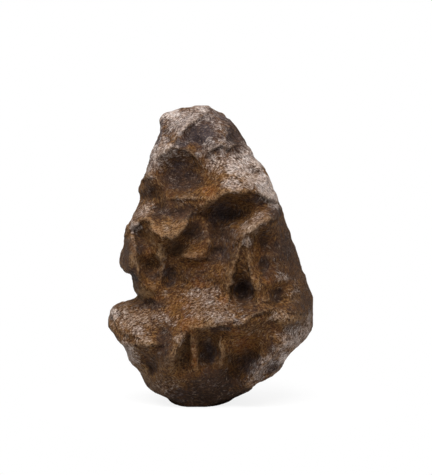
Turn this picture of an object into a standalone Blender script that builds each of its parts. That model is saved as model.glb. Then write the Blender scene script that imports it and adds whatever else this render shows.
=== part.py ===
"""Iron meteorite: one standing lump with the thumbprint hollows that flight melted into it.

The stone stands upright on a small flat foot. Its front faces -Y and its top is +Z. The lump is lofted
from level cross-sections: two side edges give each section its width, a skin hung on crests and troughs
gives the front its depth, and scattered thumbprints are pressed into the sides, the back and the top.
The lump is then remeshed evenly, cut flat at the foot and centred. Tables and constants are in millimetres.
"""

import math
import random

import bmesh
import bpy
import numpy as np
from mathutils import Vector, noise

MM = 0.001

# Driving dimensions of the lump.
HEIGHT = 298.0
FOOT_CUT = 2.0  # how much of the rounded underside the resting face takes off
RING_STEP = 2.0
RING_POINTS = 160
VOXEL = 2.0
TRIANGLES = 9400

# Side edges of the lump, as (height, x), from the foot up.
LEFT_EDGE = (
    (-3, -30), (2, -41), (6, -45), (10, -51), (14, -59), (18, -64), (26, -69), (34, -73), (42, -80),
    (50, -83), (58, -86), (66, -93), (74, -97), (82, -102), (90, -101), (94, -100), (98, -97),
    (101, -90), (104, -79), (107, -73), (110, -75), (118, -78), (126, -80), (131, -82), (135, -88),
    (142, -91), (150, -90), (162, -86), (170, -85), (182, -80), (194, -75), (202, -71), (208, -70),
    (214, -72),
    (222, -69), (230, -65), (238, -63), (246, -60), (254, -58), (262, -54), (270, -50), (278, -49),
    (285, -49), (290, -45), (294, -34), (296, -24), (298, -12),
)
RIGHT_EDGE = (
    (-3, 14), (2, 22), (6, 29), (10, 36), (14, 42), (18, 43), (22, 47), (26, 53), (30, 61), (38, 71),
    (46, 76), (54, 82), (62, 91), (70, 99), (78, 102), (90, 102), (102, 102), (114, 99), (126, 95),
    (134, 91), (146, 87), (162, 82), (174, 78), (186, 73), (198, 69), (210, 64), (222, 59), (234, 54),
    (242, 49), (247, 43), (254, 40), (258, 36), (266, 32), (274, 27), (282, 21), (288, 13), (292, 6),
    (295, 0), (298, -5),
)

# Front of the lump: crests and troughs as (x, height, how far forward the surface is). Their heights are
# as seen at the side edges' depth by an eye that looks down on the front, SIGHT_RISE per unit forward.
SIGHT_RISE = 0.105  # the tangent of 6 degrees
CRESTS_AND_TROUGHS = {
    "apex": ((-14, 296, 8), (-5, 297, 8)),
    "crown crest": (
        (-8, 290, 19), (-10, 282, 29), (-20, 275, 34), (-32, 266, 37), (-38, 256, 39), (-46, 250, 37),
    ),
    "crown knob": ((-45, 286, 9), (-40, 277, 19)),
    "crown pits": ((-42, 271, 22), (-43, 263, 25)),
    "crown face hollow": ((-14, 275, 32), (-19, 266, 32), (-17, 259, 32)),
    "crown right hollow": ((24, 273, 24), (25, 264, 23)),
    "crown lip": ((-30, 257, 38), (-14, 254, 36), (0, 256, 38), (12, 257, 38), (22, 256, 34)),
    "collar trough": ((-12, 243, 35), (-4, 244, 35), (6, 250, 36), (18, 250, 35), (29, 251, 28)),
    "upper hollow roof": ((-46, 246, 34), (-36, 251, 38), (-24, 252, 38), (-15, 247, 38), (-10, 239, 38)),
    "upper hollow back": ((-42, 239, 29), (-30, 240, 29), (-19, 238, 30)),
    "upper hollow floor": ((-45, 232, 29), (-38, 227, 28), (-28, 225, 28), (-19, 225, 29), (-13, 229, 32)),
    "upper hollow sill": ((-52, 226, 32), (-43, 218, 32), (-30, 216, 33), (-18, 216, 34), (-8, 222, 37)),
    "small ledge": ((-36, 205, 40), (-31, 204, 43), (-21, 204, 44), (-11, 204, 45)),
    "under small ledge": ((-34, 194, 39), (-27, 191, 40), (-18, 191, 41)),
    "ear crest": ((-67, 224, 28), (-61, 227, 32), (-54, 224, 35), (-49, 216, 36)),
    "ear rib": ((-44, 211, 35), (-43, 202, 38), (-44, 193, 40)),
    "ear trough": ((-68, 205, 12), (-61, 204, 16), (-54, 203, 24)),
    "swoosh top": ((-74, 189, 23), (-63, 187, 36), (-46, 184, 42), (-33, 183, 43)),
    "swoosh slope": ((-52, 177, 45), (-42, 177, 46), (-32, 178, 47)),
    "swoosh crest": (
        (-79, 174, 30), (-73, 179, 36), (-68, 183, 39), (-61, 181, 43), (-56, 174, 48), (-51, 166, 52),
        (-45, 165, 54), (-38, 166, 54), (-30, 169, 54), (-25, 174, 52), (-22, 181, 49), (-21, 187, 44),
    ),
    "swoosh underside": ((-67, 177, 33), (-59, 168, 39), (-51, 159, 45), (-41, 159, 43), (-33, 161, 39)),
    "left arris": (
        (-79, 174, 30), (-76, 167, 37), (-72, 158, 43), (-71, 148, 45), (-70, 138, 45), (-68, 126, 43),
        (-66, 116, 39), (-67, 110, 34),
    ),
    "arris hollow": ((-71, 173, 31), (-67, 166, 30), (-63, 160, 32)),
    "cheek bump": ((-64, 152, 36), (-54, 151, 41)),
    "cheek hollow": ((-66, 142, 33), (-63, 135, 29), (-56, 135, 29), (-51, 140, 34)),
    "cheek sill": ((-64, 124, 38), (-55, 121, 40), (-48, 121, 40)),
    "cheek rib": ((-50, 155, 43), (-48, 147, 44), (-47, 138, 43), (-46, 129, 42)),
    "cheek pit": ((-42, 139, 36), (-40, 132, 30), (-41, 124, 31), (-43, 119, 36)),
    "middle hollow": ((-13, 178, 37), (-21, 170, 34), (-27, 162, 33), (-33, 155, 33), (-38, 151, 34)),
    "middle bump": ((-29, 147, 45), (-22, 147, 48), (-14, 146, 47), (-7, 146, 46)),
    "under middle bump": ((-28, 141, 40), (-18, 140, 42), (-8, 141, 43)),
    "middle right hollow": ((6, 158, 42), (8, 150, 40), (13, 146, 42)),
    "brow": (
        (-7, 197, 47), (1, 202, 53), (8, 205, 57), (12, 209, 59), (25, 209, 61), (37, 211, 57), (47, 209, 51),
        (56, 205, 45), (66, 198, 36),
    ),
    "socket back": ((-2, 193, 37), (8, 198, 35), (20, 200, 34), (29, 199, 36)),
    "socket floor": ((-2, 187, 37), (8, 185, 34), (20, 184, 34), (30, 185, 37)),
    "socket right": ((38, 199, 45), (46, 198, 46), (56, 196, 43)),
    "lit wedge top": ((29, 181, 44), (37, 186, 46), (44, 193, 47), (54, 194, 46)),
    "lit wedge crest": ((58, 182, 57), (50, 178, 62), (43, 173, 65), (35, 168, 65), (29, 164, 62)),
    "below socket": ((7, 177, 34), (6, 168, 37)),
    "below socket rib": ((-6, 184, 40), (-3, 171, 43), (-3, 158, 46)),
    "nose top": ((18, 178, 41), (20, 168, 47), (21, 158, 51)),
    "nose left": ((29, 164, 62), (27, 152, 60), (24, 140, 58), (22, 128, 56), (20, 116, 56), (18, 106, 57)),
    "slot floor": ((31, 153, 58), (30, 145, 55), (30, 136, 50), (30, 128, 44), (31, 119, 38), (31, 110, 35)),
    "slot left floor": ((27, 120, 40), (26, 114, 37), (26, 108, 37)),
    "slot right floor": ((34, 120, 40), (36, 114, 37), (37, 108, 37)),
    "slot foot": ((22, 102, 58), (31, 100, 60), (40, 102, 61)),
    "nose right": ((34, 156, 62), (35, 146, 61), (37, 135, 60), (41, 122, 60), (45, 111, 61), (44, 103, 61)),
    "right hollow": ((47, 170, 50), (49, 162, 46), (49, 154, 49)),
    "right lower hollow": ((51, 145, 50), (51, 138, 47), (51, 132, 51)),
    "right swell": ((66, 178, 45), (71, 162, 45), (76, 146, 45), (82, 134, 44)),
    "right sill": ((57, 128, 56), (68, 126, 53), (79, 124, 47)),
    "right pit": ((61, 112, 50), (66, 107, 47)),
    "right knob": ((78, 111, 51), (87, 104, 45)),
    "lobe trough": ((-74, 99, 27), (-66, 98, 31), (-57, 101, 36)),
    "shelf trough": (
        (-46, 109, 40), (-32, 114, 41), (-18, 117, 43), (-4, 119, 45), (8, 116, 47), (14, 108, 51),
    ),
    "shelf edge": (
        (-24, 76, 72), (-16, 77, 74), (-8, 77, 76), (-1, 79, 78), (6, 81, 80), (14, 80, 80), (22, 79, 80),
        (30, 81, 79), (38, 85, 76), (46, 91, 72), (54, 94, 68),
    ),
    "right shelf": ((62, 90, 65), (72, 85, 65), (84, 84, 57), (94, 82, 43)),
    "under right shelf": ((54, 80, 60), (66, 77, 60), (80, 75, 52), (90, 70, 40)),
    "lobe edge": (
        (-99, 84, 27), (-93, 77, 38), (-87, 72, 46), (-80, 69, 53), (-70, 62, 61), (-60, 60, 65),
        (-51, 61, 67),
    ),
    "lobe valley": ((-44, 82, 55), (-46, 72, 57), (-46, 60, 60)),
    "left buttress": ((-24, 76, 72), (-28, 67, 76), (-31, 59, 77), (-36, 50, 76), (-41, 42, 71)),
    "left flute": ((-24, 67, 65), (-27, 58, 58), (-30, 48, 54), (-30, 38, 56)),
    "left flute right": ((-22, 60, 58), (-22, 50, 53), (-24, 40, 54)),
    "middle buttress": ((-16, 74, 74), (-16, 62, 72), (-16, 50, 68), (-16, 38, 63)),
    "middle flute": ((-8, 68, 62), (-9, 58, 54), (-8, 48, 52), (-4, 42, 53)),
    "middle flute right": ((0, 70, 62), (1, 60, 53), (2, 50, 51)),
    "right buttress": ((10, 66, 71), (10, 55, 70), (9, 46, 67), (8, 38, 63)),
    "under shelf": ((1, 76, 71), (10, 76, 70), (18, 76, 71)),
    "chin": ((24, 72, 72), (36, 72, 70)),
    "chin hollow": ((50, 62, 58), (43, 53, 48), (36, 45, 42), (30, 35, 39), (23, 33, 42)),
    "chin hollow left": ((31, 55, 50), (24, 44, 45), (20, 36, 47)),
    "lower arris": (
        (74, 69, 62), (65, 60, 64), (58, 52, 65), (51, 45, 64), (45, 38, 62), (40, 29, 58), (35, 22, 53),
        (29, 16, 46),
    ),
    "lower left pit": ((-61, 46, 48), (-58, 36, 42)),
    "lower left rib": ((-50, 52, 64), (-49, 38, 61), (-50, 28, 56)),
}

# Places between them.
SPOTS = {
    "crown face": ((4, 274, 31), (6, 266, 35), (16, 278, 26)),
    "collar slope": ((20, 238, 41), (25, 228, 47), (25, 216, 53)),
    "right slope": ((36, 240, 30), (44, 229, 36), (50, 218, 42), (58, 212, 36)),
    "slope left": ((0, 234, 39), (0, 220, 42), (2, 210, 48)),
    "below sill": ((-42, 211, 36), (-28, 210, 38), (-16, 210, 40)),
    "above swoosh": ((-46, 191, 39), (-60, 197, 32)),
    "lobe top": ((-88, 88, 33), (-74, 88, 42), (-60, 89, 46), (-52, 94, 45), (-72, 76, 52)),
    "ear": ((-64, 214, 21), (-57, 213, 26), (-52, 194, 27)),
    "middle": ((-20, 156, 41), (-10, 160, 43), (-28, 128, 41), (-15, 129, 44), (-2, 132, 46), (8, 128, 48)),
    "lower cheek": ((-58, 115, 42), (-40, 112, 41)),
    "right plane": ((57, 174, 54), (57, 148, 54), (61, 156, 49), (64, 190, 49)),
    "chin face": ((30, 64, 65), (20, 60, 65)),
    "shelf": ((-30, 100, 50), (-8, 102, 56), (10, 99, 63)),
    "under lobe": ((-74, 50, 50), (-62, 53, 58)),
    "lower front": ((-11, 27, 60), (5, 22, 55), (-30, 28, 61), (-42, 24, 57), (20, 23, 51)),
    "toe": ((-30, 5, 44), (-12, 1, 42), (5, 3, 42), (-52, 18, 44), (22, 9, 40)),
    "side plane": ((66, 46, 48), (55, 33, 46)),
}

# How far back the rear surface is at each height, where the side edges lie front to back (-y is forward),
# and how far in from each side edge the rounding reaches.
BACK = (
    (0, 30), (12, 44), (30, 58), (52, 70), (75, 78), (95, 77), (118, 71), (150, 71), (185, 67), (215, 56),
    (245, 49), (270, 39), (288, 26), (301, 10),
)
LEFT_EDGE_Y = (
    (0, 0), (60, -12), (80, -22), (95, -20), (110, 2), (150, 0), (178, -20), (195, -10), (210, 2),
    (226, -10), (240, -20), (262, -22), (280, -12), (301, 2),
)
RIGHT_EDGE_Y = (
    (0, 18), (20, 12), (40, 4), (70, 2), (110, -4), (160, -10), (198, -24), (214, -32), (238, -22), (262, -8), (301, 2),
)
LEFT_ROUND = (
    (0, 22), (60, 12), (80, 6), (95, 8), (108, 12), (130, 16), (174, 8), (195, 9), (210, 13), (228, 8),
    (250, 8), (275, 12), (301, 20),
)
RIGHT_ROUND = (
    (0, 42), (14, 26), (30, 12), (60, 14), (100, 22), (150, 22), (190, 13), (208, 6), (238, 6), (260, 13), (301, 22),
)

BACK_SQUARENESS = 2.3  # 2 makes the rear of each section an ellipse, and more makes it squarer

# The skin of the front.
STRING_STEP = 5.0  # how far apart the points along a crest or trough are
SLACK = 0.5  # how loosely the skin hangs on its points, which also lets two lines share one
GRID = 2.0
GRID_LOW = np.array((-112.0, -12.0))
GRID_SHAPE = (113, 158)
CREST_BLUR = 1  # rounds of smoothing over the whole skin
TROUGH_BLUR = 6  # rounds more in the troughs, which are rounder than the crests
SIGHT_ROUNDS = 6
TYPICAL_FORWARD = 40.0

# Thumbprints in the sides, back and top.
PRINT_SEED = 11
PRINT_SPACING = 27.0
PRINT_RADIUS = (19.0, 30.0)
PRINT_DEPTH = (4.0, 9.5)
PRINT_FADE = (2.0, 16.0)  # how far behind the side edges the thumbprints start, and reach their full depth
FOOT_FADE = (2.0, 24.0)  # how far up from the foot they start, and reach their full depth
LUMP_SIZE = 62.0
LUMP_HEIGHT = 7.0


def drop_everything():
    for obj in list(bpy.data.objects):
        bpy.data.objects.remove(obj, do_unlink=True)


def curve_through(points):
    """A smooth line through (height, value) pairs, as a function of height."""
    heights = np.array([p[0] for p in points], float)
    values = np.array([p[1] for p in points], float)
    slopes = np.gradient(values, heights)

    def value_at(height):
        at = np.clip(height, heights[0], heights[-1])
        i = np.clip(np.searchsorted(heights, at) - 1, 0, len(heights) - 2)
        span = heights[i + 1] - heights[i]
        t = (at - heights[i]) / span
        return (
            (2 * t**3 - 3 * t**2 + 1) * values[i]
            + (t**3 - 2 * t**2 + t) * span * slopes[i]
            + (3 * t**2 - 2 * t**3) * values[i + 1]
            + (t**3 - t**2) * span * slopes[i + 1]
        )

    return value_at


def walked(line):
    """Points every few millimetres along a crest or trough."""
    found = []
    for start, end in zip(line, line[1:]):
        start, end = np.array(start, float), np.array(end, float)
        count = max(1, round(np.linalg.norm((end - start)[:2]) / STRING_STEP))
        found += [start + (end - start) * i / count for i in range(count)]
    return found + [np.array(line[-1], float)]


def blurred(field, rounds):
    for _ in range(rounds):
        for axis in (0, 1):
            pad = np.pad(field, [(1, 1) if a == axis else (0, 0) for a in (0, 1)], mode="edge")
            low, high = (pad[:-2], pad[2:]) if axis == 0 else (pad[:, :-2], pad[:, 2:])
            field = 0.5 * field + 0.25 * (low + high)
    return field


def front_field():
    """How far forward the front is over (x, height): a skin hung on the crests and troughs.

    The skin is drawn straight between them, then its troughs are rounded and its crests kept."""
    strung = [point for line in CRESTS_AND_TROUGHS.values() for point in walked(line)]
    strung = np.array(strung + [point for spots in SPOTS.values() for point in spots], float)
    at, value = strung[:, :2], strung[:, 2]
    apart = np.linalg.norm(at[:, None] - at[None], axis=2)
    count = len(at)
    system = np.ones((count + 1, count + 1))
    system[:count, :count] = SLACK * np.eye(count) - apart
    system[count, count] = 0.0
    weights = np.linalg.solve(system, np.append(value, 0.0))
    xs = GRID_LOW[0] + GRID * np.arange(GRID_SHAPE[0])
    zs = GRID_LOW[1] + GRID * np.arange(GRID_SHAPE[1])
    grid = np.stack(np.meshgrid(xs, zs, indexing="ij"), axis=-1).reshape(-1, 2)
    skin = np.array([weights[count] - np.linalg.norm(point - at, axis=1) @ weights[:count] for point in grid])
    skin = skin.reshape(GRID_SHAPE)
    skin = blurred(skin, CREST_BLUR)
    return np.maximum(skin, blurred(skin, TROUGH_BLUR))


def front_at(skin, x, height):
    """How far forward the front is at a true height, from a skin whose heights are as seen."""
    forward = TYPICAL_FORWARD
    for _ in range(SIGHT_ROUNDS):
        forward = sample(skin, x, height - forward * SIGHT_RISE)
    return forward


def sample(field, x, z):
    """Bilinear reading of a grid at (x, height)."""
    u = np.clip((x - GRID_LOW[0]) / GRID, 0, GRID_SHAPE[0] - 1.001)
    v = np.clip((z - GRID_LOW[1]) / GRID, 0, GRID_SHAPE[1] - 1.001)
    i, j = int(u), int(v)
    a, b = u - i, v - j
    low = field[i, j] * (1 - a) + field[i + 1, j] * a
    high = field[i, j + 1] * (1 - a) + field[i + 1, j + 1] * a
    return low * (1 - b) + high * b


def side_edges():
    """The side edges' x and y, and the reach of their rounding, as functions of height."""
    return [
        (curve_through(xs), curve_through(ys), curve_through(rounds))
        for xs, ys, rounds in ((LEFT_EDGE, LEFT_EDGE_Y, LEFT_ROUND), (RIGHT_EDGE, RIGHT_EDGE_Y, RIGHT_ROUND))
    ]


def loft():
    """The lump, drawn up ring by ring from the foot."""
    (left, left_y, left_round), (right, right_y, right_round) = side_edges()
    back = curve_through(BACK)
    skin = front_field()
    bm = bmesh.new()
    ring = list(bmesh.ops.create_circle(bm, segments=RING_POINTS, radius=1.0)["verts"])
    bm.faces.new(ring[::-1])
    levels = int(HEIGHT / RING_STEP)
    for level in range(levels + 1):
        height = HEIGHT * level / levels
        if level:
            edges = [e for e in bm.edges if len(e.link_faces) == 1]
            made = bmesh.ops.extrude_edge_only(bm, edges=edges)["geom"]
            raised = {g for g in made if isinstance(g, bmesh.types.BMVert)}
            ring = [next(e.other_vert(v) for e in v.link_edges if e.other_vert(v) in raised) for v in ring]
        x_low, x_high = left(height), right(height)
        middle, half = (x_low + x_high) / 2, (x_high - x_low) / 2
        for i, vert in enumerate(ring):
            turn = 2 * math.pi * i / RING_POINTS
            across = math.cos(turn)
            x = middle + half * across
            reach = right_round(height) if across > 0 else left_round(height)
            inset = min(1.0, half * (1 - abs(across)) / min(reach, half))
            share = (across + 1) / 2
            edge_y = left_y(height) * (1 - share) + right_y(height) * share
            if math.sin(turn) > 0:
                depth, bulge = back(height), math.sqrt(1 - abs(across) ** BACK_SQUARENESS)
            else:
                depth, bulge = -front_at(skin, x, height), math.sqrt(1 - (1 - inset) ** 2)
            vert.co = (x, edge_y * (1 - bulge) + depth * bulge, height)
    bm.faces.new(ring)
    bmesh.ops.recalc_face_normals(bm, faces=bm.faces)
    return bm


def smooth_step(low, high, value):
    t = min(1.0, max(0.0, (value - low) / (high - low)))
    return t * t * (3 - 2 * t)


def thumbprints(points):
    """Seeded places for thumbprints, no two nearer than the spacing, as (centre, radius, depth)."""
    dice = random.Random(PRINT_SEED)
    found = []
    for point in dice.sample(points, len(points)):
        if all((point - centre).length > PRINT_SPACING for centre, _, _ in found):
            found.append((point, dice.uniform(*PRINT_RADIUS), dice.uniform(*PRINT_DEPTH)))
    return found


def press_thumbprints(bm):
    """Presses the thumbprints in behind the side edges, over low lumps. Ridges stay where two prints meet."""
    (_, left_y, _), (_, right_y, _) = side_edges()
    bm.normal_update()
    behind = {}
    for vert in bm.verts:
        edge_y = left_y(vert.co.z) if vert.co.x < 0 else right_y(vert.co.z)
        behind[vert] = smooth_step(*PRINT_FADE, vert.co.y - edge_y)
    prints = thumbprints([vert.co.copy() for vert in bm.verts if behind[vert] > 0])
    moves = {}
    for vert, amount in behind.items():
        if amount == 0:
            continue
        amount *= smooth_step(*FOOT_FADE, vert.co.z)
        away = [((vert.co - centre).length / radius, depth) for centre, radius, depth in prints]
        hollow = max(depth * (1 - radii**2) for radii, depth in away)
        lump = LUMP_HEIGHT * noise.noise(vert.co / LUMP_SIZE)
        moves[vert] = vert.normal * amount * (lump - max(0.0, hollow))
    for vert, move in moves.items():
        vert.co += move


def evaluated_mesh(obj):
    graph = bpy.context.evaluated_depsgraph_get()
    return bpy.data.meshes.new_from_object(obj.evaluated_get(graph))


def even_mesh(mesh):
    """The surface as even facets, few enough to stay a light solid."""
    draft = bpy.data.objects.new("draft", mesh)
    bpy.context.scene.collection.objects.link(draft)
    remesh = draft.modifiers.new("even", "REMESH")
    remesh.mode = "VOXEL"
    remesh.voxel_size = VOXEL * MM
    draft.modifiers.new("triangles", "TRIANGULATE")
    decimate = draft.modifiers.new("fewer", "DECIMATE")
    decimate.ratio = 1.0
    full = evaluated_mesh(draft)
    decimate.ratio = TRIANGLES / len(full.polygons)
    found = evaluated_mesh(draft)
    bpy.data.objects.remove(draft)
    return found


def cut_foot(bm):
    """Cuts the underside off flat and closes it, which is the face that the stone rests on."""
    cut = bmesh.ops.bisect_plane(
        bm, geom=bm.verts[:] + bm.edges[:] + bm.faces[:], dist=1e-6,
        plane_co=(0, 0, FOOT_CUT * MM), plane_no=(0, 0, 1), clear_inner=True,
    )
    rim = [g for g in cut["geom_cut"] if isinstance(g, bmesh.types.BMEdge)]
    bmesh.ops.holes_fill(bm, edges=rim, sides=len(rim))
    bmesh.ops.triangulate(bm, faces=bm.faces)


def centre_on_foot(bm):
    """Puts the foot at height zero and the middle of the box over the origin."""
    xs, ys, zs = zip(*(v.co for v in bm.verts))
    middle = Vector(((min(xs) + max(xs)) / 2, (min(ys) + max(ys)) / 2, min(zs)))
    bmesh.ops.translate(bm, verts=bm.verts, vec=-middle)


def iron_crust():
    material = bpy.data.materials.new("weathered iron crust")
    material.use_nodes = True
    shader = material.node_tree.nodes["Principled BSDF"]
    shader.inputs["Base Color"].default_value = (0.095, 0.058, 0.038, 1.0)
    shader.inputs["Roughness"].default_value = 0.62
    shader.inputs["Metallic"].default_value = 0.35
    return material


def main():
    drop_everything()
    bm = loft()
    press_thumbprints(bm)
    bmesh.ops.scale(bm, vec=(MM, MM, MM), verts=bm.verts)
    mesh = bpy.data.meshes.new("stone")
    bm.to_mesh(mesh)
    bm.free()
    mesh = even_mesh(mesh)
    bm = bmesh.new()
    bm.from_mesh(mesh)
    cut_foot(bm)
    centre_on_foot(bm)
    bm.to_mesh(mesh)
    bm.free()
    mesh.name = "stone"
    mesh.materials.append(iron_crust())
    mesh.shade_smooth()
    stone = bpy.data.objects.new("stone", mesh)
    bpy.context.scene.collection.objects.link(stone)


main()
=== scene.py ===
"""An iron meteorite on a pale floor: one lump of nickel-iron, hollowed all over by its fall and crusted brown.

Everything is in metres in the frame's own axes: +Z up, the front facing -Y.
"""

import math

import bmesh
import bpy
import numpy as np
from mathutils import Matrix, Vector, noise


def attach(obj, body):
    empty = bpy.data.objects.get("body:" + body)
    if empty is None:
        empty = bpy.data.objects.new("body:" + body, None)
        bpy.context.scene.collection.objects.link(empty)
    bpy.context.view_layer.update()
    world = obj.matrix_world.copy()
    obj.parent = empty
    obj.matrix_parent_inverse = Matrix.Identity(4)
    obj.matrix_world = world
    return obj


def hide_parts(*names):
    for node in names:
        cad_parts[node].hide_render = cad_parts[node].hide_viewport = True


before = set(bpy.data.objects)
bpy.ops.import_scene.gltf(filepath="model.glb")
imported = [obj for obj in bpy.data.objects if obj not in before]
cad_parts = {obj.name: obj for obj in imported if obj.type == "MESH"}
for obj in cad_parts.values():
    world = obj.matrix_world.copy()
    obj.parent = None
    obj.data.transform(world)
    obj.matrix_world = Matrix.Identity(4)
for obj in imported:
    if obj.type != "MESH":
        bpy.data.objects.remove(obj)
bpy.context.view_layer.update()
scene = bpy.context.scene

# The lump.
# One solid piece of nickel-iron. Air stripped molten metal from it on the way down, which left the thumbprint
# hollows, and years in the ground pitted its skin. It takes its form from the solid, cut into a finer net.
MM = 0.001
NET_MM = 1.55
SMOOTHING_ROUNDS = 14
PULL_IN, PUSH_OUT = 0.6, -0.62  # the two steps of a round, which keep the lump's size
CRISPING = ((60, 0.45, 2.4), (14, 0.7, 1.4))  # rounds of evening out, gain over them, most (mm)

merged = bmesh.new()
merged.from_mesh(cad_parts["stone"].data)
bmesh.ops.remove_doubles(merged, verts=merged.verts, dist=1e-6)
rough_mesh = bpy.data.meshes.new("iron_meteorite_rough")
merged.to_mesh(rough_mesh)
merged.free()
rough = bpy.data.objects.new("iron_meteorite_rough", rough_mesh)
scene.collection.objects.link(rough)
net = rough.modifiers.new("net", "REMESH")
net.mode = "VOXEL"
net.voxel_size = NET_MM * MM
mesh = bpy.data.meshes.new_from_object(rough.evaluated_get(bpy.context.evaluated_depsgraph_get()))
mesh.name = "iron_meteorite"
bpy.data.objects.remove(rough)
bpy.data.meshes.remove(rough_mesh)
lump = bpy.data.objects.new("iron_meteorite", mesh)
scene.collection.objects.link(lump)

count = len(mesh.vertices)
links = np.empty(len(mesh.edges) * 2, np.int64)
mesh.edges.foreach_get("vertices", links)
links = links.reshape(-1, 2)
meets = np.bincount(links.ravel(), minlength=count)[:, None]


def places():
    """Every point of the net, in millimetres."""
    flat = np.empty(count * 3, np.float32)
    mesh.vertices.foreach_get("co", flat)
    return flat.reshape(-1, 3).astype(np.float64) / MM


def put(points):
    """Move the net's points there."""
    mesh.vertices.foreach_set("co", (points * MM).astype(np.float32).ravel())
    mesh.update()


def facings():
    """The way each point of the net faces."""
    flat = np.empty(count * 3, np.float32)
    mesh.vertex_normals.foreach_get("vector", flat)
    return flat.reshape(-1, 3).astype(np.float64)


def neighbours_mean(values):
    """For each point, the mean of the values at the points it is linked to."""
    total = np.empty_like(values)
    for column in range(values.shape[1]):
        one, other = values[links[:, 0], column], values[links[:, 1], column]
        total[:, column] = np.bincount(links[:, 0], other, count) + np.bincount(links[:, 1], one, count)
    return total / meets


def spread(values, rounds):
    """The values evened out over the net."""
    for _ in range(rounds):
        values = 0.5 * (values + neighbours_mean(values))
    return values


def fade(values, none, full):
    """0 at none, 1 at full, smooth between."""
    t = np.clip((values - none) / (full - none), 0, 1)
    return t * t * (3 - 2 * t)


cad_points = places()
points = cad_points
for _ in range(SMOOTHING_ROUNDS):
    for step in (PULL_IN, PUSH_OUT):
        points = points + step * (neighbours_mean(points) - points)
for rounds, gain, limit in CRISPING:
    lean = points - spread(points, rounds)
    length = np.linalg.norm(lean, axis=1, keepdims=True) + 1e-9
    points = points + lean / length * limit * np.tanh(gain * length / limit)
put(points)
normals = facings()
broad = spread(normals, 20)  # the way the stone faces there, without its small relief
broad /= np.linalg.norm(broad, axis=1, keepdims=True)
toward_front = -broad[:, 1]

# Places on the front are given as across and up (mm), as an eye sees them that looks 6 degrees down on it. Both count
# from where the lump's axis met the floor before it was centred and its foot was cut flat.
SIGHT_RISE = 0.105
AXIS_ACROSS, AXIS_UP = -0.276, 1.324


def seen(points):
    """How far across and how far up the points are seen."""
    return points[:, 0] + AXIS_ACROSS, points[:, 2] + SIGHT_RISE * points[:, 1] + AXIS_UP


def turned(x, y, angle):
    """The offsets x and y, along axes turned by that many degrees."""
    c, s = math.cos(math.radians(angle)), math.sin(math.radians(angle))
    return c * x + s * y, c * y - s * x


def spot(at, x, height, wide, tall, turn):
    """1 in the middle of an oval on the front, 0 outside it, for the points seen at those places."""
    across, up = at
    dx, dy = turned(across - x, up - height, turn)
    return np.clip(1 - (dx / wide) ** 2 - (dy / tall) ** 2, 0, 1) ** 2


def from_line(at, line):
    """Distance of every point from a broken line on the front, and which side of it: 1 is to its left."""
    across, up = at
    nearest = np.full(count, np.inf)
    side = np.ones(count)
    for (x0, y0), (x1, y1) in zip(line, line[1:]):
        dx, dy = x1 - x0, y1 - y0
        t = np.clip(((across - x0) * dx + (up - y0) * dy) / (dx * dx + dy * dy), 0, 1)
        away = np.hypot(across - x0 - t * dx, up - y0 - t * dy)
        closer = away < nearest
        nearest = np.where(closer, away, nearest)
        side = np.where(closer, np.sign(dx * (up - y0) - dy * (across - x0)), side)
    return nearest, side


# Small hollows of the front: across, up, half width, half height, turn in degrees, depth (mm).
HOLLOWS = (
    (-43, 270, 5, 4, 20, 1.2),
    (-42, 262, 5, 4, -20, 1.2),
    (-8, 279, 4, 3, 0, 0.9),
    (24, 266, 9, 8, 40, 2.0),
    (7, 252, 6, 3, 10, 0.9),
    (18, 251, 6, 3, 0, 0.9),
    (-4, 244, 5, 3, 15, 0.9),
    (42, 232, 9, 4, -35, 1.3),
    (35, 216, 11, 6, -30, 1.2),
    (-3, 218, 6, 4, 0, 0.8),
    (-52, 194, 8, 7, 40, 2.4),
    (-70, 165, 5, 13, 22, 0.9),
    (-61, 138, 14, 9, 0, 1.3),
    (-39, 131, 7, 10, 10, 2.4),
    (-40, 119, 8, 4, 0, 1.2),
    (-34, 153, 9, 9, 50, 2.0),
    (-77, 129, 4, 12, -15, 1.6),
    (7, 152, 10, 8, 20, 1.8),
    (50, 162, 4, 13, 0, 1.3),
    (62, 154, 6, 6, 0, 1.2),
    (51, 138, 5, 12, 0, 1.6),
    (64, 108, 9, 9, -30, 2.2),
    (-63, 99, 12, 5, 5, 2.0),
    (-59, 36, 5, 9, 0, 1.8),
    (-27, 50, 7, 16, -15, 1.2),
    (-3, 54, 9, 16, 10, 0.5),
    (64, 38, 7, 4, 35, 1.4),
    (60, 62, 9, 6, 30, 1.4),
)
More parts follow.
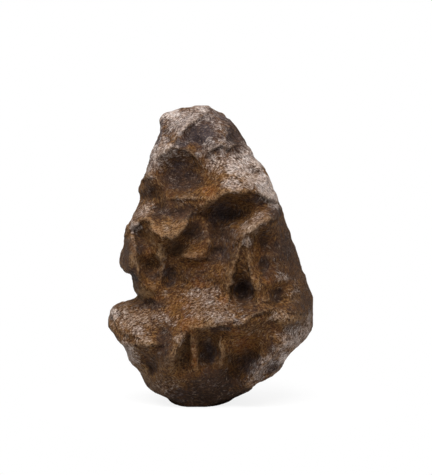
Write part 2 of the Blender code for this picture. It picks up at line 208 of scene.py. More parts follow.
# Ledges of the front: how far the near lip stands out and the far side sinks, how far each reaches (mm), and the
# edge's line, which has the lip on its left.
LEDGES = (
    (1.6, 1.6, 9, 7, (
        (-6, 194), (0, 198), (7, 203), (12, 207), (20, 208), (30, 208), (40, 210), (47, 208), (58, 203),
    )),
    (2.0, 1.2, 9, 6, ((28, 162), (33, 166), (39, 170), (44, 174), (50, 178), (56, 181))),
    (2.2, 1.6, 10, 7, (
        (-78, 173), (-71, 179), (-66, 183), (-60, 181), (-55, 171), (-49, 165), (-41, 164), (-33, 167), (-27, 172),
        (-23, 179), (-21, 186),
    )),
    (1.4, 1.0, 7, 6, ((-37, 203), (-30, 203), (-22, 202), (-11, 203))),
    (1.8, 1.2, 10, 8, ((-38, 254), (-37, 259), (-33, 265), (-27, 270), (-20, 275), (-15, 279), (-10, 283))),
    (1.2, 1.2, 6, 5, ((-29, 147), (-22, 146), (-14, 145), (-6, 145))),
    (1.6, 1.8, 9, 6, (
        (-12, 77), (-5, 78), (0, 79), (6, 81), (11, 81), (21, 78), (28, 80), (34, 83), (40, 88), (45, 91), (52, 92),
    )),
    (1.4, 1.0, 8, 6, ((-97, 83), (-94, 78), (-91, 74), (-87, 71), (-82, 69), (-76, 68))),
    (1.4, 1.4, 8, 6, ((-72, 60), (-62, 60), (-51, 60))),
    (1.2, 1.2, 5, 6, (
        (-67, 119), (-69, 127), (-71, 135), (-72, 143), (-71, 150), (-72, 157), (-75, 165), (-78, 172),
    )),
    (1.0, 1.4, 5, 4, ((18, 104), (20, 116), (22, 128), (25, 140), (28, 152), (30, 159))),
    (0.8, 1.4, 5, 4, ((34, 156), (35, 146), (36, 136), (39, 124), (42, 114), (43, 105))),
    (0.8, 1.6, 5, 5, ((42, 101), (36, 99), (28, 99), (22, 101))),
    (1.6, 1.6, 6, 8, ((72, 64), (64, 57), (58, 50), (52, 44), (46, 37), (41, 30), (36, 24))),
    (1.2, 1.0, 6, 5, ((-36, 42), (-34, 50), (-30, 60), (-25, 70))),
    (1.0, 0.8, 4, 4, ((-21, 66), (-21, 55), (-22, 44))),
    (1.0, 1.0, 4, 4, ((-12, 42), (-12, 52), (-12, 64))),
    (1.0, 1.0, 5, 5, ((6, 64), (9, 54), (8, 44))),
    (1.0, 1.0, 6, 6, ((18, 50), (28, 52), (38, 52), (47, 50))),
    (1.0, 1.2, 5, 6, ((-67, 223), (-60, 226), (-54, 224), (-50, 218))),
    (0.6, 0.5, 5, 4, ((-5, 248), (2, 252), (10, 255), (16, 253), (24, 256))),
    (0.8, 1.0, 6, 5, ((-48, 246), (-40, 251), (-30, 252), (-22, 249), (-14, 243))),
    (0.8, 0.8, 4, 5, ((-47, 128), (-47, 140), (-49, 152))),
    (0.8, 1.2, 5, 5, ((56, 103), (62, 103), (70, 106))),
    (0.7, 0.8, 5, 4, ((56, 96), (66, 94), (78, 92), (88, 91))),
    (0.8, 0.8, 5, 4, ((-50, 78), (-42, 74), (-36, 66), (-31, 58))),
)
# Scratches cut by a tool long ago: half width, depth (mm), and the line.
SCRATCHES = (
    (1.8, 0.7, ((80, 105), (99, 114))),
    (1.6, 0.6, ((79, 102), (95, 109))),
)
LEDGE_BLUNTNESS = 0.8
noise.seed_set(20)  # unseeded, its vectors follow the clock


def wandering(points, *waves):
    """An aimless offset for each point: the sum of waves of such height and length (mm)."""
    offsets = np.empty((count, 3))
    for i, point in enumerate(points):
        parts = (height * noise.noise_vector(Vector(point) / length) for height, length in waves)
        offsets[i] = sum(parts, Vector((0, 0, 0)))
    return offsets


def seen_ragged(points, *waves):
    """How far across and how far up the points are seen, made to wander so that edges come out ragged."""
    across, up = seen(points)
    offsets = wandering(points, *waves)
    return across + offsets[:, 0], up + offsets[:, 2]


straight = seen(points)
ragged = seen_ragged(points, (2.0, 8), (1.0, 3))
relief = np.zeros(count)
for x, height, wide, tall, turn, depth in HOLLOWS:
    relief -= depth * spot(ragged, x, height, wide, tall, turn)
for rise, drop, reach_over, reach_under, line in LEDGES:
    away, side = from_line(ragged, line)
    over = 0.5 + 0.5 * np.clip(away * side / LEDGE_BLUNTNESS, -1, 1)
    lip = over * rise * np.exp(-((away / reach_over) ** 2))
    relief += lip - (1 - over) * drop * np.exp(-((away / reach_under) ** 2))
for half_width, depth, line in SCRATCHES:
    away, _ = from_line(straight, line)
    relief -= depth * np.clip(1 - away / half_width, 0, 1)
relief *= fade(toward_front, -0.1, 0.25)

# Scallops and pits all over, less near the foot: their size, depth and how far they swirl (mm).
SKIN = ((15, 1.3, 5.0), (7, 0.55, 2.5), (4.2, 0.3, 1.2))
SCALLOP_RIM = 0.75  # how far from its middle a scallop ends, in its own size
MOST_PROUD = 0.3  # how far the skin may stand out past the solid's box (mm)
above_foot = fade(points[:, 2], 2, 14)
for size, depth, swirl in SKIN:
    cells = np.empty(count)
    for i, point in enumerate(points):
        where = Vector(point)
        where += swirl * noise.noise_vector(where / (2.2 * size))
        near = noise.voronoi(where / size)[0]
        cells[i] = min(near[0] / SCALLOP_RIM, 1.0)
    relief += depth * (cells**2 - 0.5) * above_foot
put(points + normals * relief[:, None])
shape = places()
low, high = cad_points.min(axis=0), cad_points.max(axis=0)
shape = np.clip(shape, low - MOST_PROUD, high + MOST_PROUD)
shape[:, 2] = np.maximum(shape[:, 2], 0)
put(shape)
mesh.polygons.foreach_set("use_smooth", [True] * len(mesh.polygons))
mesh.update()

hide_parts("stone")
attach(lump, "root")

# How deep each point lies in its surroundings, for the painted shade in its pits and hollows and the painted
# highlight on its edges.
normals = facings()


def sunk(rounds, deepest):
    """0 on a crest, 0.5 on the flat, 1 in a hollow that deep (mm)."""
    return np.clip(0.5 + ((spread(shape, rounds) - shape) * normals).sum(axis=1) / (2 * deepest), 0, 1)


def store(name, values):
    """Keep one value for each point, for the material to read."""
    mesh.attributes.new(name, "FLOAT", "POINT").data.foreach_set("value", values.astype(np.float32))


store("sunk_fine", sunk(3, 0.35))

# Which way the fine wrinkles run: round the stone, along its edges. Each point holds how much it follows each of four
# ways, turned by 45 degrees from one another in the plane of the front.
WAYS = [(math.cos(math.radians(turn)), 0.0, math.sin(math.radians(turn))) for turn in (0, 45, 90, 135)]
FAITHFULNESS = 6  # the higher it is, the more each point keeps to its nearest way
course = np.cross(spread(normals, 6), (0.0, 1.0, 0.0))
course /= np.linalg.norm(course, axis=1, keepdims=True) + 1e-6
course += wandering(shape, (0.45, 22), (0.6, 8))
follows = np.abs(course @ np.array(WAYS).T) ** FAITHFULNESS + 1e-6
follows = spread(follows / follows.sum(axis=1, keepdims=True), 2)
for way in range(len(WAYS)):
    store(f"way_{way}", follows[:, way])

# Patches of the front's crust: across, up, half width, half height, turn, strength. Rust is the crust's own colour;
# the dark patches are painted shade, and the purple, tan and grey ones are partly painted shade and light, as said at
# each.
PATCHES = {
    "rust": (
        (-40, 208, 7, 22, 0, 0.5), (-4, 206, 9, 18, 0, 0.6), (-25, 214, 26, 8, 0, 0.2), (-2, 212, 9, 10, 0, 0.9),
        (-30, 212, 20, 6, 0, 0.6), (-30, 182, 18, 8, 0, 0.5), (-50, 225, 4, 14, 0, 0.5), (-54, 170, 7, 11, 30, 0.8),
        (-11, 157, 12, 9, 0, 0.6), (-15, 140, 16, 14, 0, 0.7), (-14, 121, 12, 6, 0, 1.0), (21, 164, 8, 16, 0, 0.8),
        (20, 140, 10, 12, 0, 0.5), (58, 126, 9, 12, 0, 1.0), (57, 112, 8, 8, 0, 0.5), (-30, 94, 20, 14, 0, 0.7),
        (-22, 82, 14, 10, 0, 0.8), (-44, 66, 10, 16, 0, 0.9), (-52, 106, 22, 5, 0, 0.7), (-18, 48, 6, 16, 0, 1.0),
        (30, 62, 20, 14, 0, 0.9), (24, 73, 10, 6, 0, 0.9), (-3, 32, 18, 9, 0, 0.8), (14, 22, 14, 9, 0, 0.7),
        (22, 36, 8, 7, 0, 0.5), (74, 70, 6, 5, 0, 0.5), (10, 68, 14, 5, 0, 0.6), (78, 138, 9, 8, 0, 0.4),
        (46, 145, 6, 28, 0, 0.6), (12, 104, 9, 7, 0, 0.8), (48, 88, 12, 5, 20, 0.5), (-62, 150, 10, 8, 0, 0.5),
        (8, 130, 14, 10, 0, 0.5), (-60, 118, 14, 10, 0, 0.5),
    ),
    # painted shade: dark brown laid where the front lies in shadow, in its hollows, under its ledges and on faces
    # turned from the light
    "painted_shade": (
        (-30, 236, 20, 16, 0, 0.5), (14, 191, 26, 12, 0, 0.1), (12, 168, 18, 11, 0, 0.8), (-9, 168, 9, 9, 0, 0.7),
        (8, 145, 12, 7, 0, 0.8), (-18, 128, 22, 12, 0, 0.4), (-56, 127, 12, 8, 0, 0.6), (-70, 156, 9, 8, 0, 0.6),
        (-49, 145, 4, 12, 0, 0.4), (48, 202, 14, 6, 0, 0.5), (64, 192, 8, 10, 0, 0.9), (36, 217, 9, 4, -20, 0.3),
        (-30, 223, 24, 12, 0, 1.1), (-40, 200, 12, 7, 0, 0.5), (-60, 214, 12, 14, 0, 0.45),
        (-17, 173, 12, 10, 35, 0.8), (-34, 154, 10, 12, 40, 0.5), (-68, 166, 7, 15, 20, 0.5),
        (-61, 138, 14, 11, 0, 0.2), (-40, 131, 9, 12, 0, 0.5), (-52, 194, 7, 7, 0, 0.9), (32, 112, 10, 16, 0, 1.0),
        (7, 153, 10, 9, 0, 0.6), (50, 160, 5, 15, 0, 0.55), (51, 138, 5, 12, 0, 0.8), (-62, 99, 13, 5, 0, 1.0),
        (64, 108, 9, 8, 0, 0.8), (-27, 50, 7, 17, 0, 0.1), (-59, 37, 6, 10, 0, 0.9), (58, 57, 8, 8, 30, 0.7),
        (20, 130, 10, 26, 10, 0.3), (64, 150, 16, 40, 15, 0.4), (0, 8, 50, 14, 0, 0.9), (10, 77, 12, 4, 0, 0.9),
        (66, 154, 12, 12, 0, 0.9), (59, 130, 9, 10, 0, 0.6), (-77, 129, 5, 12, -15, 1.0),
        (24, 264, 11, 15, 20, 1.3), (4, 22, 30, 18, 0, 0.9), (-9, 160, 10, 7, 0, 0.35), (4, 176, 14, 12, 0, 0.5),
        (-28, 190, 16, 8, 0, 0.9), (-46, 193, 10, 6, 0, 0.6), (-42, 189, 22, 5, 0, 0.8), (76, 155, 16, 40, 15, 0.6),
        (90, 100, 16, 20, 0, 0.5), (62, 190, 9, 10, 0, 0.6), (62, 38, 8, 6, 35, 1.3), (-84, 152, 10, 20, 0, 0.68),
        (-72, 194, 6, 12, -15, 0.4), (-45, 64, 9, 22, 0, 0.85), (-58, 101, 22, 5, 10, 0.6),
        (-42, 218, 9, 12, 0, 0.6), (-34, 186, 9, 6, 0, 0.5), (-28, 93, 14, 6, 0, 0.4), (36, 97, 18, 7, -10, 0.5),
        (76, 98, 12, 5, 0, 0.5), (-60, 46, 14, 14, 0, 0.4), (84, 78, 12, 7, 0, 0.5), (-92, 97, 8, 4, 20, 0.5),
        (-30, 212, 20, 8, 0, 0.5), (-4, 136, 20, 20, 0, 0.3), (-43, 270, 4, 3, 0, 0.8), (-44, 262, 5, 3, 0, 0.8),
        (-8, 279, 3, 2, 0, 0.8), (7, 252, 6, 3, 0, 0.6), (18, 251, 6, 3, 0, 0.7), (42, 232, 8, 3, -30, 0.7),
        (35, 215, 11, 6, -30, 0.4), (-45, 28, 9, 12, 0, 0.3), (18, 152, 9, 18, 0, 0.6),
    ),
    # dark purple oxide, partly painted shade: it lies deepest in the hollows and along the shaded edges of the crown
    "plum_oxide_and_shade": (
        (-10, 268, 17, 14, 0, 1.0), (-24, 260, 13, 9, 40, 0.8), (-14, 280, 40, 18, 0, 0.65),
        (-57, 244, 8, 20, 10, 0.6), (-51, 270, 4, 20, -14, 1.3), (0, 291, 20, 5, -10, 0.6),
        (12, 286, 18, 9, -30, 0.7), (23, 265, 11, 13, 30, 0.4), (0, 262, 30, 20, 0, 0.5),
        (-30, 236, 16, 12, 0, 0.5), (12, 190, 20, 12, 0, 0.7), (-30, 224, 24, 10, 0, 0.1),
        (-20, 225, 12, 7, 0, 0.2), (32, 114, 9, 10, 0, 0.7), (-2, 54, 10, 16, 0, 0.6), (38, 40, 18, 14, 0, 0.6),
        (-40, 131, 6, 8, 0, 0.5), (-40, 120, 6, 4, 0, 0.6), (8, 152, 9, 8, 0, 0.5), (44, 203, 16, 6, 0, 0.4),
        (52, 140, 6, 14, 0, 0.3), (-62, 214, 9, 9, 0, 0.1), (50, 34, 24, 14, 30, 0.3), (-32, 10, 20, 10, 0, 0.3),
    ),
    # tan crust, partly painted light: some patches lighten flutes, crevices and shaded places that the light does not
    # reach
    "tan": (
        (-42, 176, 24, 12, 0, 0.35), (-26, 207, 24, 5, 0, 0.3), (-4, 82, 20, 10, 0, 0.3), (10, 64, 20, 8, 0, 0.3),
        (86, 88, 18, 6, 0, 0.4), (16, 212, 10, 4, 0, 0.4), (-78, 86, 24, 14, 0, 0.3), (18, 130, 8, 16, 0, 0.4),
        (20, 146, 6, 10, 0, 0.4), (-66, 109, 12, 6, 0, 0.9), (-74, 140, 7, 7, 0, 0.5), (-40, 38, 18, 11, 0, 0.3),
        (-66, 30, 9, 13, 0, 0.5), (24, 162, 9, 14, 0, 0.2), (-64, 62, 14, 8, 0, 0.4), (70, 86, 16, 8, 0, 0.4),
        (4, 226, 10, 12, 0, 0.05), (62, 122, 13, 9, 0, 0.2), (-36, 156, 7, 14, 40, 0.3), (-56, 166, 10, 5, 10, 0.4),
        (36, 172, 16, 9, 35, 0.45), (-78, 50, 10, 18, 0, 0.5), (58, 208, 12, 9, -60, 1.1), (-28, 54, 6, 14, 0, 0.4),
        (-49, 150, 6, 12, 0, 0.8), (-45, 24, 18, 14, 0, 0.3), (-66, 192, 14, 9, 35, 0.2),
        (28, 228, 30, 16, -20, 0.4), (84, 105, 14, 10, 20, 0.4), (50, 40, 16, 14, 35, 0.2),
        (-40, 200, 16, 10, 0, 0.3),
    ),
    # wear and painted sheen: pale grey laid on the lit, up-facing slopes and edges, partly where the crust is worn
    # back
    "wear_and_painted_sheen": (
        (-39, 289, 9, 6, 0, 1.4), (-27, 261, 16, 7, -22, 0.2), (7, 276, 12, 8, -25, 0.4),
        (-34, 283, 20, 9, 35, 0.6), (-18, 284, 12, 8, 20, 0.6), (6, 285, 12, 7, -20, 0.3), (-45, 287, 6, 7, 0, 0.8),
        (-10, 294, 14, 6, 0, 0.8), (-6, 283, 8, 6, 0, 0.4), (6, 233, 9, 6, 0, 0.5), (21, 217, 13, 8, 0, 0.7),
        (-27, 275, 14, 6, 45, 0.7), (-45, 252, 7, 18, 10, 0.6), (-4, 288, 14, 6, 0, 0.3),
        (26, 236, 22, 12, -15, 0.78), (2, 238, 12, 10, 0, 0.5), (56, 213, 22, 10, -60, 1.05),
        (40, 226, 12, 10, -40, 0.5), (47, 240, 8, 8, 0, 0.9), (34, 254, 6, 8, 0, 0.6), (40, 222, 16, 9, -40, 0.5),
        (36, 246, 11, 10, 0, 0.9), (6, 258, 16, 9, 0, 0.5), (26, 246, 9, 6, -20, 0.6), (-36, 254, 7, 5, 0, 0.7),
        (-7, 248, 10, 6, 0, 0.4), (-26, 247, 12, 5, 0, 0.35), (14, 250, 9, 6, 0, 0.5), (64, 209, 7, 8, -20, 0.85),
        (-54, 246, 8, 16, 0, 0.72), (-60, 232, 7, 12, 10, 0.5), (-66, 192, 14, 8, 35, 0.35),
        (-42, 174, 22, 7, 8, 0.1), (-26, 203, 12, 3, 0, 0.3), (38, 175, 17, 8, 35, 0.43), (34, 163, 7, 8, 0, 0.6),
        (48, 186, 10, 7, 20, 0.4), (-2, 96, 30, 16, 0, 0.3), (6, 90, 22, 9, 0, 0.4), (-80, 86, 24, 14, 0, 0.35),
        (-52, 86, 14, 9, 0, 0.4), (-40, 84, 8, 6, 0, 0.3), (-66, 66, 12, 7, 0, 0.4), (46, 32, 10, 11, 0, 0.45),
        (56, 46, 11, 8, 20, 0.45), (68, 58, 8, 8, 0, 0.4), (72, 46, 8, 8, 35, 0.7), (80, 64, 14, 9, 20, 0.6),
        (-80, 52, 9, 18, 20, 0.6), (81, 111, 8, 4, 15, 0.3), (69, 126, 7, 5, 0, 0.35), (66, 88, 12, 5, 0, 0.35),
        (78, 72, 16, 7, 10, 0.6), (94, 71, 8, 8, 0, 0.6), (27, 86, 10, 4, 0, 0.5), (98, 82, 6, 12, 0, 0.5),
        (-97, 89, 7, 8, 0, 0.7), (38, 22, 8, 7, 0, 0.3), (-46, 18, 16, 9, 0, 0.3), (-76, 177, 6, 6, 30, 0.9),
        (-75, 160, 3, 14, 15, 0.2), (-8, 112, 22, 6, 0, 0.4), (-29, 66, 5, 7, 0, 0.4), (-72, 74, 8, 6, 0, 0.5),
        (-57, 66, 8, 5, 0, 0.15), (-2, 104, 12, 6, 0, 0.4),
    ),
}
OVERLAP = 1.15  # how much wider than listed each patch is, so that neighbours meet
ragged = seen_ragged(shape, (4.0, 9), (2.0, 3.5))
faces_front = fade(toward_front, -0.4, 0.35)

# On the sides and the back, the patches follow chance, the hollows and what faces up: painted shade gathers in the
# hollows and a painted sheen where the stone faces up.
CLOUDS = ((42, (0, 0, 0)), (33, (7, 3, 1)), (26, (2, 9, 5)))  # size (mm) and where in the noise each is taken
cloud, other_cloud, small_cloud = np.empty((3, count))
for i, point in enumerate(shape):
    cloud[i], other_cloud[i], small_cloud[i] = (
        noise.fractal(Vector(point) / size + Vector(start), 1.0, 2.0, 3) for size, start in CLOUDS
    )
sunk_wide = sunk(90, 3.5)
facing_up = fade(spread(normals, 6)[:, 2], 0.0, 0.7)
ELSEWHERE = {
    "rust": 0.8 * fade(cloud, 0.0, 0.5),
    "tan": 0.5 * fade(small_cloud - 0.4 * other_cloud, -0.1, 0.6),
    # painted shade: darker in the broad hollows
    "painted_shade": fade(sunk_wide + 0.4 * other_cloud, 0.55, 1.0),
    # dark purple oxide in the broad hollows, partly painted shade
    "plum_oxide_and_shade": 0.7 * fade(sunk_wide - 0.4 * other_cloud, 0.6, 1.0),
    # wear and painted sheen: lighter where the stone faces up to the overhead light and away from the hollows
    "wear_and_painted_sheen": 0.6 * fade(0.35 * facing_up - 0.5 * (sunk_wide - 0.5) + 0.6 * small_cloud, 0.1, 0.8),
}
for name, patches in PATCHES.items():
    laid = np.zeros(count)
    for x, height, wide, tall, turn, strength in patches:
        oval = spot(ragged, x, height, wide * OVERLAP, tall * OVERLAP, turn)
        laid = np.maximum(laid, strength * np.sqrt(oval))
    store(name, laid * faces_front + ELSEWHERE[name] * (1 - faces_front))

# The crust.
# A hard skin of brown oxide over nickel-iron. It is dark and slightly purple where it lies deep, partly painted
# shade, ochre where the rust is fresh, and lighter tan where light is painted into shaded hollows. A pale grey
# painted sheen lies on the lit, up-facing slopes and crests, partly where handling has worn it back to the metal,
# which gives it a dull gloss there.
crust = bpy.data.materials.new("weathered nickel-iron crust")
crust.use_nodes = True
crust.node_tree.nodes.clear()


def linear(hex_colour):
    """The linear colour of an sRGB hex value."""
    values = [int(hex_colour[i : i + 2], 16) / 255 for i in (1, 3, 5)]
    return (*[v / 12.92 if v <= 0.04045 else ((v + 0.055) / 1.055) ** 2.4 for v in values], 1)


def add(tree, kind, settings=None, **inputs):
    """A new node. Each input is a value or a socket to link from, named with _ for a space, or i0, i1 and so on."""
    node = tree.nodes.new(kind)
    for key, value in (settings or {}).items():
        setattr(node, key, value)
    for key, value in inputs.items():
        numbered = key[0] == "i" and key[1:].isdigit()
        socket = node.inputs[int(key[1:]) if numbered else key.replace("_", " ")]
        if isinstance(value, bpy.types.NodeSocket):
            tree.links.new(value, socket)
        else:
            socket.default_value = value
    return node


tree = crust.node_tree
position = add(tree, "ShaderNodeTexCoord").outputs["Object"]

# Patterns drawn out along the wrinkles' course: the kind of noise, its size (mm), detail and roughness, and what
# values become 0 and 1. Creases are thin jagged lines. The real grain is finer than this, which is as fine as shows.
PATTERNS = (
    ("creases", "RIDGED_MULTIFRACTAL", 3.6, 4, 0.7, 1.25, 1.9),
    ("grain", "FBM", 1.3, 3, 0.7, 0.39, 0.61),
    ("scales", "FBM", 3.6, 3, 0.7, 0.36, 0.64),
)
DRAWN_OUT = 2.2  # how many times longer than wide
drawn = {}
for way, direction in enumerate(WAYS):
    share = add(tree, "ShaderNodeAttribute", {"attribute_name": f"way_{way}"}).outputs["Fac"]
    along = add(
        tree, "ShaderNodeVectorMath", {"operation": "DOT_PRODUCT"}, i0=position, i1=direction,
    ).outputs["Value"]
    back_along = add(tree, "ShaderNodeMath", {"operation": "MULTIPLY"}, i0=along, i1=1 / DRAWN_OUT - 1).outputs[0]
    squeezed = add(
        tree, "ShaderNodeVectorMath", {"operation": "MULTIPLY_ADD"}, i0=direction, i1=back_along, i2=position,
    ).outputs[0]
    for name, kind, size_mm, detail, rough, none, full in PATTERNS:
        values = add(
            tree, "ShaderNodeTexNoise", {"noise_type": kind}, Vector=squeezed, Scale=1 / (size_mm * MM),
            Detail=detail, Roughness=rough, Distortion=0.4,
        ).outputs["Fac"]
        values = add(tree, "ShaderNodeMapRange", Value=values, From_Min=none, From_Max=full).outputs["Result"]
        drawn[name] = add(
            tree, "ShaderNodeMath", {"operation": "MULTIPLY_ADD"}, i0=values, i1=share, i2=drawn.get(name, 0.0),
        ).outputs[0]
flecks = add(
    tree, "ShaderNodeTexNoise", Vector=position, Scale=1 / (8 * MM), Detail=5, Roughness=0.7, Distortion=0.8,
).outputs["Fac"]
drawn["flecks"] = add(tree, "ShaderNodeMapRange", Value=flecks, From_Min=0.35, From_Max=0.65).outputs["Result"]

# Each colour in turn lies over the ones before it: its two shades and the size of their patches (mm), the attribute
# that says where it lies, how far flecks, scales and grain break its edge, where it starts and where it is full.
COATS = (
    ("#482a12", "#583717", 9, None, 0, 0, 0, 0, 0),
    ("#2b1a13", "#392115", 6, None, 0.5, 0.5, 0.35, 0.65, 1.2),
    ("#5e340f", "#634013", 11, "rust", 0.4, 0.4, 0.3, 0.6, 1.4),
    ("#612f0e", "#663a12", 6, "rust", 0.6, 0.6, 0.3, 1.0, 2.0),
    # tan crust, partly painted light in shaded hollows
    ("#8c6f50", "#94724e", 8, "tan", 0.4, 0.5, 0.4, 0.7, 1.6),
    # painted shade: dark brown over the hollows and the shaded places
    ("#3b271c", "#2a1a13", 10, "painted_shade", 0.3, 0.4, 0.3, 0.5, 1.3),
    # dark purple oxide, partly painted shade in hollows and on shaded edges
    ("#423839", "#2d2426", 10, "plum_oxide_and_shade", 0.3, 0.4, 0.3, 0.5, 1.3),
    # pale grey wear and painted sheen on lit, up-facing places
    ("#948780", "#988376", 10, "wear_and_painted_sheen", 0.35, 0.25, 0.4, 0.58, 1.5),
)
colour = None
amounts = {}
for i, (shade, other, patch_mm, where, by_flecks, by_scales, by_grain, start, full) in enumerate(COATS):
    patches = add(
        tree, "ShaderNodeTexNoise", Vector=position, Scale=1 / (patch_mm * MM), Detail=3, Roughness=0.6,
        Distortion=0.8 + i / 10,
    ).outputs["Fac"]
    patches = add(tree, "ShaderNodeMapRange", Value=patches, From_Min=0.4, From_Max=0.6).outputs["Result"]
    coat = add(
        tree, "ShaderNodeMix", {"data_type": "RGBA"}, i0=patches, i6=linear(shade), i7=linear(other),
    ).outputs[2]
    if colour is None:
        colour = coat
        continue
    amount = 0.0
    for name, share in (("flecks", by_flecks), ("scales", by_scales), ("grain", by_grain)):
        amount = add(
            tree, "ShaderNodeMath", {"operation": "MULTIPLY_ADD"}, i0=drawn[name], i1=share, i2=amount,
        ).outputs[0]
    if where:
        stored = add(tree, "ShaderNodeAttribute", {"attribute_name": where}).outputs["Fac"]
        amount = add(tree, "ShaderNodeMath", i0=amount, i1=stored).outputs[0]
    amounts[where] = add(
        tree, "ShaderNodeMapRange", {"interpolation_type": "SMOOTHSTEP"}, Value=amount, From_Min=start, From_Max=full,
    ).outputs["Result"]
    colour = add(tree, "ShaderNodeMix", {"data_type": "RGBA"}, i0=amounts[where], i6=colour, i7=coat).outputs[2]

# Small pits, grain, edges and creases mark it all, with painted shade in the pits and painted highlight on the edges:
# the colour, what shows it, where from and to, how much where the crust is whole and where it is worn and sheened,
# and how much of that is lost in the dark hollows.
deep = add(tree, "ShaderNodeAttribute", {"attribute_name": "sunk_fine"}).outputs["Fac"]
# painted highlight, partly edge wear: the crests of the fine relief are made paler
on_edges = add(tree, "ShaderNodeMapRange", Value=deep, From_Min=0.42, From_Max=0.1).outputs["Result"]
edge_wear_and_highlight = add(tree, "ShaderNodeMath", {"operation": "MULTIPLY"}, i0=drawn["grain"], i1=on_edges).outputs[0]
smooth = add(tree, "ShaderNodeMath", {"operation": "MAXIMUM"}, i0=amounts["painted_shade"], i1=amounts["plum_oxide_and_shade"]).outputs[0]
for shade, shown_by, start, full, whole, wear_and_painted_sheen, lost in (
    # painted shade: darker in the fine pits and hollows
    ("#2a1a10", deep, 0.55, 0.95, 0.6, 0.5, 0.0),
    ("#1a110b", drawn["grain"], 0.5, 0.0, 1.0, 0.6, 0.3),
    ("#926e40", drawn["grain"], 0.5, 1.0, 0.62, 0.0, 0.7),
    # paler crests: edge wear and painted highlight
    ("#a08466", edge_wear_and_highlight, 0.15, 0.8, 0.34, 0.3, 0.5),
    # painted highlight: pale glints in the grain of the lit, sheened areas
    ("#dcd1c9", drawn["grain"], 0.5, 1.0, 0.0, 0.65, 0.0),
    ("#24160d", drawn["creases"], 0.0, 0.6, 0.6, 0.7, 0.3),
):
    most = add(tree, "ShaderNodeMapRange", Value=amounts["wear_and_painted_sheen"], To_Min=whole, To_Max=wear_and_painted_sheen).outputs["Result"]
    kept = add(tree, "ShaderNodeMapRange", Value=smooth, To_Min=1.0, To_Max=1.0 - lost).outputs["Result"]
    most = add(tree, "ShaderNodeMath", {"operation": "MULTIPLY"}, i0=most, i1=kept).outputs[0]
    amount = add(
        tree, "ShaderNodeMapRange", Value=shown_by, From_Min=start, From_Max=full, To_Max=most,
    ).outputs["Result"]
    colour = add(tree, "ShaderNodeMix", {"data_type": "RGBA"}, i0=amount, i6=colour, i7=linear(shade)).outputs[2]

roughness = add(tree, "ShaderNodeMapRange", Value=amounts["wear_and_painted_sheen"], To_Min=0.62, To_Max=0.5).outputs["Result"]
metallic = add(tree, "ShaderNodeMapRange", Value=amounts["wear_and_painted_sheen"], To_Min=0.0, To_Max=0.2).outputs["Result"]

# Its skin is gritty and wrinkled, about a millimetre deep.
skin = drawn["grain"]
for name, height in (("scales", 0.8), ("creases", -0.8)):
    skin = add(tree, "ShaderNodeMath", {"operation": "MULTIPLY_ADD"}, i0=drawn[name], i1=height, i2=skin).outputs[0]
bump = add(tree, "ShaderNodeBump", Strength=1.0, Distance=0.9 * MM, Height=skin).outputs["Normal"]
surface = add(
    tree, "ShaderNodeBsdfPrincipled", Base_Color=colour, Roughness=roughness, Metallic=metallic, Normal=bump,
    Specular_IOR_Level=0.12,
).outputs[0]
add(tree, "ShaderNodeOutputMaterial", Surface=surface)
mesh.materials.clear()
mesh.materials.append(crust)

# The floor.
# A sheet of white paper with no edge in sight. It is lit through from below, so it glows evenly and takes only a
# faint shadow under the stone.
FLOOR_SIZE = 12.0
SHADOW_ENDS = 0.2  # how far from the middle the shadow still shows (m)
LEAST_GLOW = 0.86
sheet_form = bmesh.new()
bmesh.ops.create_grid(sheet_form, x_segments=1, y_segments=1, size=FLOOR_SIZE / 2)
floor_mesh = bpy.data.meshes.new("floor")
sheet_form.to_mesh(floor_mesh)
sheet_form.free()
floor = bpy.data.objects.new("floor", floor_mesh)
scene.collection.objects.link(floor)

paper = bpy.data.materials.new("white paper")
paper.use_nodes = True
tree = paper.node_tree
tree.nodes.clear()
on_paper = add(tree, "ShaderNodeTexCoord").outputs["Object"]
from_middle = add(tree, "ShaderNodeVectorMath", {"operation": "LENGTH"}, i0=on_paper).outputs["Value"]
glow_share = add(
    tree, "ShaderNodeMapRange", {"interpolation_type": "SMOOTHSTEP"}, Value=from_middle, From_Min=0.02,
    From_Max=SHADOW_ENDS, To_Min=LEAST_GLOW,
).outputs["Result"]
lit = add(tree, "ShaderNodeBsdfDiffuse", Color=linear("#f9f9f9")).outputs[0]
glow = add(tree, "ShaderNodeEmission", Color=linear("#ffffff"), Strength=1.0).outputs[0]
seen_paper = add(tree, "ShaderNodeMixShader", Fac=glow_share, i1=lit, i2=glow).outputs[0]
# To the stone, it is no more than a grey sheet that throws back some light.
to_stone = add(tree, "ShaderNodeBsdfDiffuse", Color=linear("#bcbcbc")).outputs[0]
eye = add(tree, "ShaderNodeLightPath").outputs["Is Camera Ray"]
surface = add(tree, "ShaderNodeMixShader", Fac=eye, i1=to_stone, i2=seen_paper).outputs[0]
add(tree, "ShaderNodeOutputMaterial", Surface=surface)
floor_mesh.materials.append(paper)

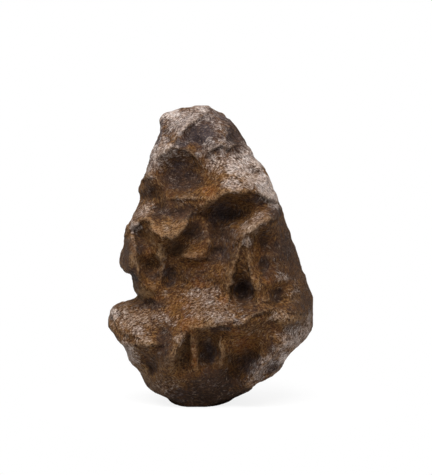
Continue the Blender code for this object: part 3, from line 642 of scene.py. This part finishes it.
# The light.
# One soft box overhead, forward and a little left, weak panels behind on both sides that edge the stone, a faint card
# of light on the floor at its lower right, and a dim room with white walls.
world = bpy.data.worlds.new("white room")
scene.world = world
world.use_nodes = True
tree = world.node_tree
tree.nodes.clear()
room = add(tree, "ShaderNodeBackground", Color=linear("#ffffff"), Strength=0.18).outputs[0]
walls = add(tree, "ShaderNodeBackground", Color=linear("#ffffff"), Strength=1.0).outputs[0]
eye = add(tree, "ShaderNodeLightPath").outputs["Is Camera Ray"]
surface = add(tree, "ShaderNodeMixShader", Fac=eye, i1=room, i2=walls).outputs[0]
add(tree, "ShaderNodeOutputWorld", Surface=surface)


def soft_box(name, place, aim, size, power, shows=True):
    """A soft box at a place, turned to its aim: its width and height (m) and its power (W)."""
    light = bpy.data.lights.new(name, "AREA")
    light.shape = "RECTANGLE"
    light.size, light.size_y = size
    light.energy = power
    lamp = bpy.data.objects.new(name, light)
    scene.collection.objects.link(lamp)
    lamp.visible_camera = shows
    lamp.location = place
    lamp.rotation_mode = "QUATERNION"
    lamp.rotation_quaternion = (Vector(aim) - Vector(place)).to_track_quat("-Z", "Y")


STONE_MIDDLE = (0, 0, 0.15)
soft_box("overhead_box", (-0.15, -0.55, 1.12), STONE_MIDDLE, (1.3, 0.6), 30)
soft_box("left_back_panel", (-0.95, 0.5, 1.1), STONE_MIDDLE, (0.8, 0.8), 8)
soft_box("right_back_panel", (0.95, 0.5, 1.1), STONE_MIDDLE, (0.8, 0.8), 8)
soft_box("right_floor_card", (0.13, -0.02, 0.003), (0.13, -0.02, 0.1), (0.1, 0.1), 0.05, shows=False)

# The camera.
# A long lens in front of the stone, which looks slightly down on its middle.
LENS_MM, SENSOR_MM = 150, 36
FRAME_HEIGHT = 0.475  # how much it takes in at the stone (m)
EYE_ELEVATION = 6  # degrees
AIM = Vector((0.005, 0, 0.1645))
camera = bpy.data.cameras.new("camera")
camera.lens = LENS_MM
camera.sensor_width = SENSOR_MM
eye_point = bpy.data.objects.new("camera", camera)
scene.collection.objects.link(eye_point)
back = Vector((0, -math.cos(math.radians(EYE_ELEVATION)), math.sin(math.radians(EYE_ELEVATION))))
eye_point.location = AIM + back * (FRAME_HEIGHT * LENS_MM / SENSOR_MM)
eye_point.rotation_mode = "QUATERNION"
eye_point.rotation_quaternion = (-back).to_track_quat("-Z", "Y")
scene.camera = eye_point
scene.view_settings.view_transform = "Standard"
